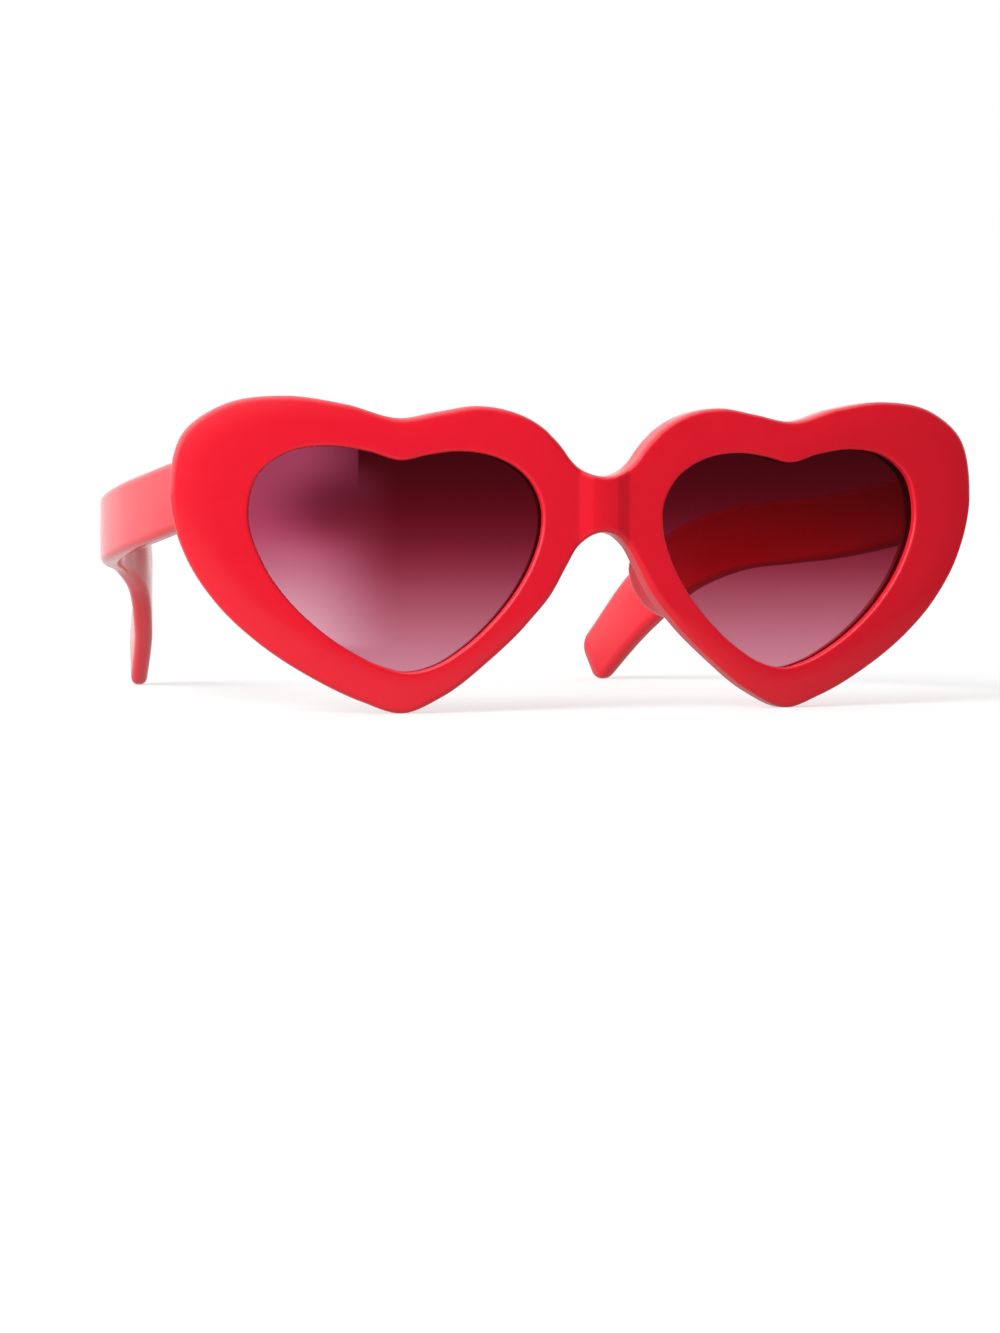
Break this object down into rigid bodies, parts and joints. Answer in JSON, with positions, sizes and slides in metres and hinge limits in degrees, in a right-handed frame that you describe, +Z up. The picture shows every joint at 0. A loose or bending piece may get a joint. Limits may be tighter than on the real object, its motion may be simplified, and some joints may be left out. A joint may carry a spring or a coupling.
{
  "type": "heart shaped sunglasses",
  "caption": "Heart shaped sunglasses: a bowed plastic front with tinted heart lenses, a raised bridge bar and two temples that fold on metal hinges.",
  "frame": {"origin": "middle of the box's bottom face: the surface that the pair stands on, midway between the bridge's raised bar and the rear ends of the temples, on the middle plane", "axes": "+X towards the wearer's left, +Y from the front to the back, +Z up; the front stands upright on the points of the two hearts and the temples slope down to their tips"},
  "size_m": [0.1594, 0.1412, 0.0577],
  "materials": {
    "frame": "polished opaque red acetate",
    "temple": "polished opaque red acetate",
    "lens": "gradient tint, wine at the top to rose at the bottom, polished",
    "pad": "polished red plastic, glued to the frame",
    "hinge": "fine brushed nickel silver",
    "screw": "turned steel",
    "core": "drawn wire, sealed in the temple"
  },
  "bodies": {
    "front": {"frame_front": "frame", "lens_right": "lens", "lens_left": "lens", "nose_pad_right": "pad", "nose_pad_left": "pad", "hinge_front_leaf_right": "hinge", "hinge_front_leaf_left": "hinge", "front_leaf_screws_right": "screw", "front_leaf_screws_left": "screw", "hinge_screw_right": "screw", "hinge_screw_left": "screw"},
    "temple_arm_right": {"temple_right": "temple", "core_wire_right": "core", "hinge_temple_leaf_right": "hinge", "temple_leaf_screws_right": "screw"},
    "temple_arm_left": {"temple_left": "temple", "core_wire_left": "core", "hinge_temple_leaf_left": "hinge", "temple_leaf_screws_left": "screw"}
  },
  "joints": [
    {"name": "fold_right", "type": "hinge", "parent": "front", "child": "temple_arm_right", "pos_m": [-0.0709, -0.05542, 0.0402], "axis": [0, 0, -1], "range_deg": [0, 70]},
    {"name": "fold_left", "type": "hinge", "parent": "front", "child": "temple_arm_left", "pos_m": [0.0709, -0.05542, 0.0402], "axis": [0, 0, 1], "range_deg": [0, 82]}
  ]
}
